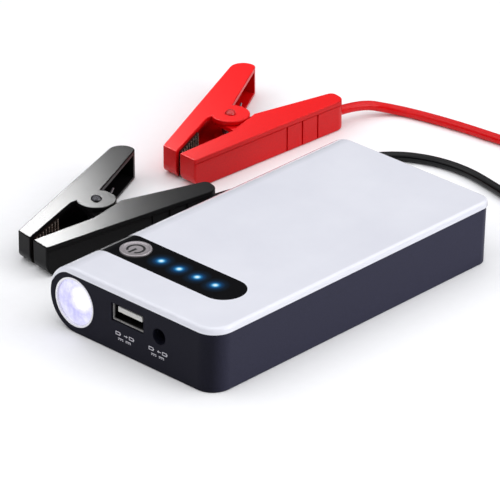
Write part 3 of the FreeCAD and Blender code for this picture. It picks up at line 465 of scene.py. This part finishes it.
def add_cable(colour):
    curve = bpy.data.curves.new(f"{colour}_lead", "CURVE")
    curve.dimensions = "3D"
    curve.bevel_depth = CABLE_R
    curve.bevel_resolution = 8
    curve.resolution_u = 24
    curve.use_fill_caps = True
    spline = curve.splines.new("NURBS")
    spline.points.add(len(ROUTES[colour]) - 1)
    for point, place in zip(spline.points, ROUTES[colour]):
        point.co = (*place, 1.0)
    spline.order_u = 3
    spline.use_endpoint_u = True
    sheath = {
        "black": ("050506", "0b0b0d"),
        "red": ("cc0008", "dc0a10"),
    }[colour]
    material = surface(
        f"{colour}_sheath", *sheath, (0.14, 0.22), 0.0015, 0.000003,
        Specular_IOR_Level=0.22,
    )
    lead = link(f"{colour}_lead", curve, "lead_set", material)
    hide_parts(f"{colour}_cable")


def turned(name, profile, centre, axis, body, material):
    """A piece turned on a lathe: profile is (radius, place along the axis), from axis to axis."""
    form = bmesh.new()
    along = Vector(axis)
    across = Vector((1, 0, 0))
    points = [form.verts.new(centre + across * r + along * h) for r, h in profile]
    edges = [form.edges.new(pair) for pair in zip(points, points[1:])]
    bmesh.ops.spin(
        form,
        geom=points + edges,
        cent=centre,
        axis=along,
        angle=2 * math.pi,
        steps=96,
        use_merge=True,
    )
    bmesh.ops.remove_doubles(form, verts=form.verts, dist=SAME_PLACE)
    bmesh.ops.recalc_face_normals(form, faces=form.faces)
    mesh = smooth_mesh(form, name, 35)
    return link(name, mesh, body, material)


def add_wire(name, path, radius, body, material):
    """A round steel wire along a path that never climbs steeply."""
    form = bmesh.new()
    turns = [2 * math.pi * n / WIRE_SIDES for n in range(WIRE_SIDES)]
    rings = []
    for n, place in enumerate(path):
        way = (path[min(n + 1, len(path) - 1)] - path[max(n - 1, 0)]).normalized()
        side = way.cross(Vector((0, 0, 1))).normalized()
        lift = side.cross(way)
        offsets = [radius * (math.cos(t) * side + math.sin(t) * lift) for t in turns]
        rings.append([form.verts.new(place + offset) for offset in offsets])
    for a, b in zip(rings, rings[1:]):
        for n in range(WIRE_SIDES):
            form.faces.new((a[n - 1], a[n], b[n], b[n - 1]))
    form.faces.new(rings[0])
    form.faces.new(rings[-1])
    bmesh.ops.recalc_face_normals(form, faces=form.faces)
    return link(name, smooth_mesh(form, name, 50), body, material)


def add_clamp_spring(colour):
    """A torsion spring in two pieces, so that its upper leg stays on the lever that moves."""
    spring = f"{colour}_clamp_spring"
    wire_r, coil_r = 0.0004, 0.0029
    turns, steps = 3, 24
    low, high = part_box(spring)
    bottom, top = low.z + wire_r, high.z - wire_r
    pin_low, pin_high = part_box(f"{colour}_clamp_pin")
    pin = (pin_low + pin_high) / 2
    pin.z = 0
    heading = Matrix.Rotation(math.radians(CLAMP_HEADINGS[colour]), 3, "Z")

    def place(along, across, height):
        return pin + heading @ Vector((along, across, height))

    def on_coil(turn):
        angle = 2 * math.pi * turn
        height = bottom + (top - bottom) * turn / turns
        return place(coil_r * math.cos(angle), coil_r * math.sin(angle), height)

    steel = surface(
        f"{spring}_steel", "7d7f84", "b4b6ba", (0.22, 0.4), 0.0005, 0.000004, Metallic=1.0
    )
    lower_end = place(coil_r + 0.0115, -0.0080, bottom)
    upper_end = place(coil_r + 0.0121, 0.0104, top)
    coil_path = [lower_end, *(on_coil(n / steps) for n in range(steps * turns + 1))]
    coil = add_wire(f"{colour}_spring_coil", coil_path, wire_r, "lead_set", steel)
    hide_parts(spring)
    overlap = [on_coil(turns - degrees / 360) for degrees in (20, 15, 10, 5, 0)]
    leg_path = [*overlap, upper_end]
    add_wire(f"{colour}_spring_leg", leg_path, wire_r, f"{colour}_clamp_upper", steel)


def add_button():
    """The button's cap: a raised rim round a slightly dished field."""
    low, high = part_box("power_button")
    centre = (low + high) / 2
    centre.z = high.z
    base = low.z - high.z
    flange_r = (high.x - low.x) / 2
    flange_top = base + 0.0006
    radius, rim = 0.0057, 0.0003
    field_r, field_edge = 0.0047, -0.00016
    dish = 0.00014
    profile = [(0, base), (flange_r, base), (flange_r, flange_top), (radius, flange_top)]
    for n in range(7):
        turn = n * math.pi / 12
        profile.append((radius - rim + rim * math.cos(turn), -rim + rim * math.sin(turn)))
    profile += [(field_r + 0.0001, 0), (field_r, -0.00004), (field_r - 0.00012, field_edge)]
    for n in range(1, 9):
        share = 1 - n / 8
        profile.append((field_r * share, field_edge - dish * (1 - share**2)))
    silver = surface(
        "button_silver", "968f93", "c6c0c3", (0.30, 0.42), 0.00035, 0.000014, Metallic=0.6
    )
    cap = turned("button_cap", profile, centre, (0, 0, 1), "power_button", silver)
    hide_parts("power_button")
    add_power_mark(centre - Vector((0, 0, 0.0003)))


def add_power_mark(centre):
    """The on-off mark: an open ring and a bar in its gap, which faces -Y."""
    outer, inner = 0.0034, 0.00255
    gap = math.radians(34)
    half_bar, bar_start, bar_end = 0.00045, 0.0002, -0.0036
    steps = 48
    form = bmesh.new()
    rings = []
    for n in range(steps + 1):
        turn = -math.pi / 2 + gap + 2 * (math.pi - gap) * n / steps
        way = Vector((math.cos(turn), math.sin(turn), 0))
        rings.append([form.verts.new(centre + way * r) for r in (inner, outer)])
    for a, b in zip(rings, rings[1:]):
        form.faces.new((a[0], a[1], b[1], b[0]))
    corners = bar(-half_bar, half_bar, bar_end, bar_start)
    form.faces.new([form.verts.new(centre + Vector((x, y, 0))) for x, y in corners])
    raise_faces(form, Vector((0, 0, 0.00012)))
    material = surface("mark_black", "0a0a0b", "151517", (0.35, 0.5), 0.0003, 0.000003)
    link("power_mark", to_mesh(form, "power_mark"), "power_button", material)


def raise_faces(form, rise):
    """Gives flat faces a thickness."""
    raised = bmesh.ops.extrude_face_region(form, geom=form.faces[:])["geom"]
    verts = [part for part in raised if isinstance(part, bmesh.types.BMVert)]
    bmesh.ops.translate(form, verts=verts, vec=rise)
    bmesh.ops.recalc_face_normals(form, faces=form.faces)


def to_mesh(form, name):
    mesh = bpy.data.meshes.new(name)
    form.to_mesh(mesh)
    form.free()
    return mesh


def smooth_mesh(form, name, sharp_degrees):
    """A mesh shaded smooth, but for edges that turn more than that angle."""
    mesh = to_mesh(form, name)
    mesh.shade_smooth()
    mesh.set_sharp_from_angle(angle=math.radians(sharp_degrees))
    return mesh


def add_port_marks():
    """Signs printed under the two ports: arrows, cells and direct-current bars."""
    face_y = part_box("bottom_case")[0].y - 0.00002
    material = surface("print_grey", "b9b8c0", "d2d1d8", (0.4, 0.6), 0.0003, 0.000002)
    signs = (("outlet_marks", -0.0076, 0.0084, 1), ("inlet_marks", 0.0083, 0.0085, -1))
    for name, left, top, arrow in signs:
        form = bmesh.new()
        outlines = cell_sign(0.0) + arrow_sign(0.0040, arrow) + cell_sign(0.0064)
        outlines += current_sign(0.0012, -0.0022) + current_sign(0.0048, -0.0022)
        for outline in outlines:
            places = [Vector((left + x, face_y, top + z)) for x, z in outline]
            form.faces.new([form.verts.new(place) for place in places])
        bmesh.ops.remove_doubles(form, verts=form.verts, dist=SAME_PLACE)
        raise_faces(form, Vector((0, 0.00006, 0)))
        link(name, to_mesh(form, name), "pack", material)


def bar(left, right, low, high):
    return [(left, low), (right, low), (right, high), (left, high)]


def cell_sign(left):
    """An upright box outline with a terminal on its side."""
    wide, tall = 0.0022, 0.0013
    outer = bar(left, left + wide, -tall, 0)
    inner = bar(left + PRINT_LINE, left + wide - PRINT_LINE, PRINT_LINE - tall, -PRINT_LINE)
    sides = [(outer[n - 1], outer[n], inner[n], inner[n - 1]) for n in range(4)]
    return [*sides, bar(left + wide, left + wide + PRINT_LINE, -0.7 * tall, -0.3 * tall)]


def arrow_sign(left, way):
    """A shaft and a head, pointing right for +1 and left for -1."""
    middle, reach, half_line = -0.00065, 0.0018, PRINT_LINE / 2
    head_length, head_half = 0.0007, 0.0005
    tail, tip = (left, left + reach) if way > 0 else (left + reach, left)
    neck = tip - way * head_length
    shaft = bar(min(tail, neck), max(tail, neck), middle - half_line, middle + half_line)
    return [shaft, [(neck, middle - head_half), (tip, middle), (neck, middle + head_half)]]


def current_sign(left, top):
    """A solid line over a broken one."""
    wide, drop = 0.0024, 0.0008
    dash = wide / 5
    starts = [left + 2 * n * dash for n in range(3)]
    dashes = [bar(x, x + dash, top - drop, top - drop + PRINT_LINE) for x in starts]
    return [bar(left, left + wide, top - PRINT_LINE, top), *dashes]


def add_torch():
    """The lamp behind the bezel: a deep stippled cup with a bright core, and a clear lens; the cup's
    glow round the core and the lens's glow are painted light.
    """
    low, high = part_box("torch_lens")
    centre = Vector(((low.x + high.x) / 2, low.y, (low.z + high.z) / 2))
    cup_low, cup_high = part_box("torch_reflector")
    front = cup_low.y - centre.y
    depth = cup_high.y - cup_low.y
    mouth, throat, steps = 0.0083, 0.0022, 16
    profile = []
    for n in range(steps + 1):
        share = n / steps
        profile.append((mouth - (mouth - throat) * share, front + depth * share**1.6))
    profile += [(throat + 0.0008, front + depth), (mouth + 0.0006, front), (mouth, front)]
    mirror = surface(
        "mirror_cup", "d9d5f4", "ffffff", (0.12, 0.25), 0.0012, 0.00012, Metallic=0.6
    )
    core = centre + Vector((0, front + depth * 0.8, 0))
    # Painted light: the cup glows, whitest round the LED and violet-grey towards its mouth, in place
    # of the light it would reflect.
    glow(mirror, [core], [(0.0, "ffffff"), (0.6, "c9c2f2"), (1.0, "8a86a8")], 0.0125, 0.3)
    cup = turned("torch_cup", profile, centre, (0, 1, 0), "pack", mirror)
    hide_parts("torch_reflector")
    lamp = surface("lamp_white", "fffdf0", "ffffff", (0.3, 0.4), 0.0005, 0.000002)
    glow(lamp, [core], [(0.0, "ffffff"), (1.0, "fffdf6")], 0.01, 3.0)
    paint(lamp, "torch_led")
    add_torch_glass(centre, (high.x - low.x) / 2)


def add_torch_glass(centre, radius):
    """The lit lens, given painted light: an emitted hot spot off its middle, fading to a painted
    violet-grey over the rest.
    """
    lens_painted_light = surface(
        "torch_lens",
        *("bab6ec", "ffffff", (0.05, 0.12), 0.0042, 0.00008),
        Alpha=0.85,
        Coat_Weight=0.6,
    )
    painted_hot_spot = centre + Vector((0.0028, 0, 0.0018))
    stops = [
        (0.0, "ffffff"),
        (0.26, "f6f6fd"),
        (0.5, "8a8aa2"),
        (0.75, "8b8b9c"),
        (1.0, "a0a0a8"),
    ]
    # Painted light: the lens glows white round a hot spot and violet-grey further out.
    glow(lens_painted_light, [painted_hot_spot], stops, 0.0105, 0.72)
    bulge, steps = 0.0005, 24
    rim_front, rim_back, glass_back = 0.0008, 0.0020, 0.0016
    profile = [(radius * n / steps, bulge * (n / steps) ** 2) for n in range(steps)]
    profile += [(radius - 0.0001, 0.0006), (radius, rim_front), (radius, rim_back)]
    profile += [(radius * 0.94, rim_back), (radius * 0.9, glass_back), (0, glass_back)]
    lens = turned("torch_glass", profile, centre, (0, 1, 0), "pack", lens_painted_light)
    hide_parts("torch_lens")


add_camera()
for lead_colour in ROUTES:
    add_cable(lead_colour)
add_world()
add_lights()
add_floor()
paint_pack()
paint_leads()
for clamp_colour in CLAMP_HEADINGS:
    add_clamp_spring(clamp_colour)
add_button()
add_port_marks()
add_torch()
bpy.context.scene.view_settings.view_transform = "Standard"
